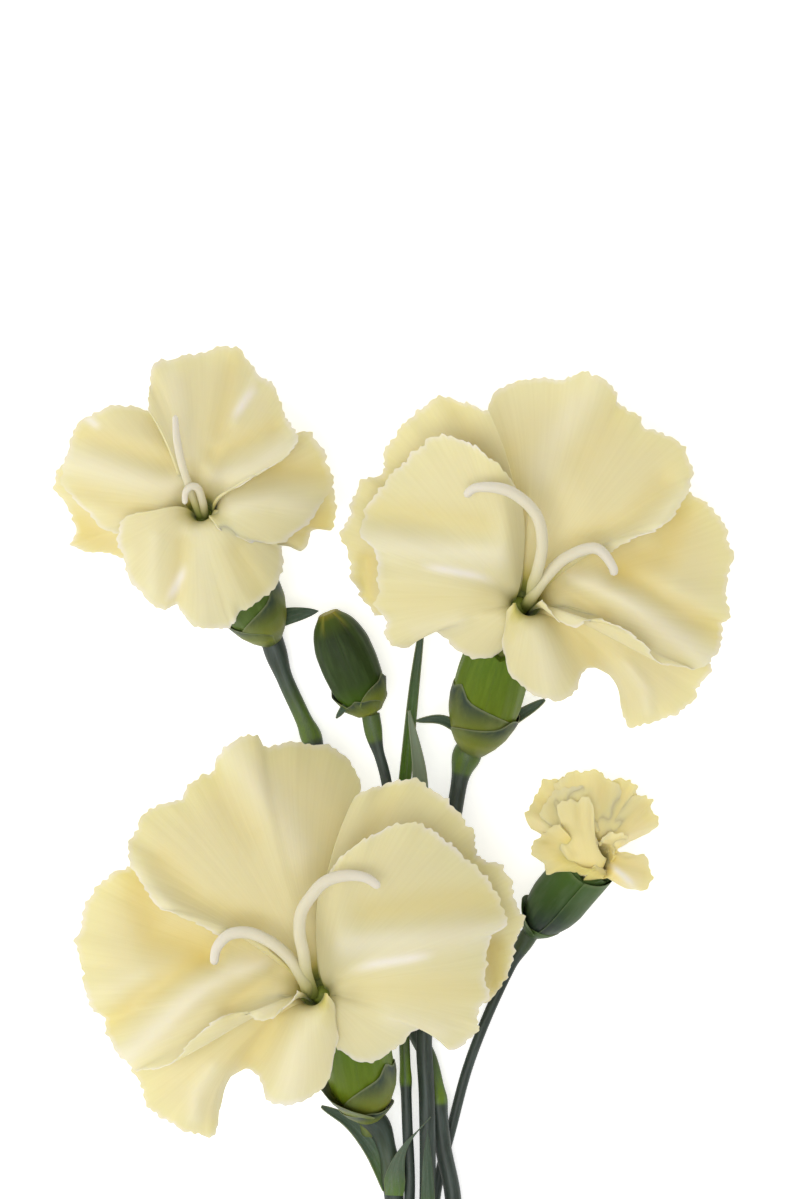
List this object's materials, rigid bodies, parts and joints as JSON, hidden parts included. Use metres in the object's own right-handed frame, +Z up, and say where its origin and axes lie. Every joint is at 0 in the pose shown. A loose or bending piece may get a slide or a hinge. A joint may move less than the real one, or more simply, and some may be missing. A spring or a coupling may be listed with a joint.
{
  "type": "cut spray carnation with single flowers",
  "caption": "Cut spray carnation lying flat: pale cream single flowers with toothed, ruffled petals, a green bud, calyces, narrow leaves and a branching stem.",
  "frame": {"origin": "on the surface that the spray lies on, under the middle of its bounding box", "axes": "+Y along the spray from the cut end of the stem towards the flowers, +Z up from the surface, +X to the right as the spray is looked down on"},
  "size_m": [0.1088, 0.2536, 0.0397],
  "materials": {
    "green": "matt, with a thin bluish bloom",
    "petal": "matt, finely veined",
    "style": "satin"
  },
  "bodies": {
    "root": {"leafy_stem": "green", "petals_a": "petal", "petals_b": "petal", "petals_c": "petal", "petals_d": "petal", "styles_a": "style", "styles_b": "style", "styles_c": "style"}
  },
  "joints": []
}
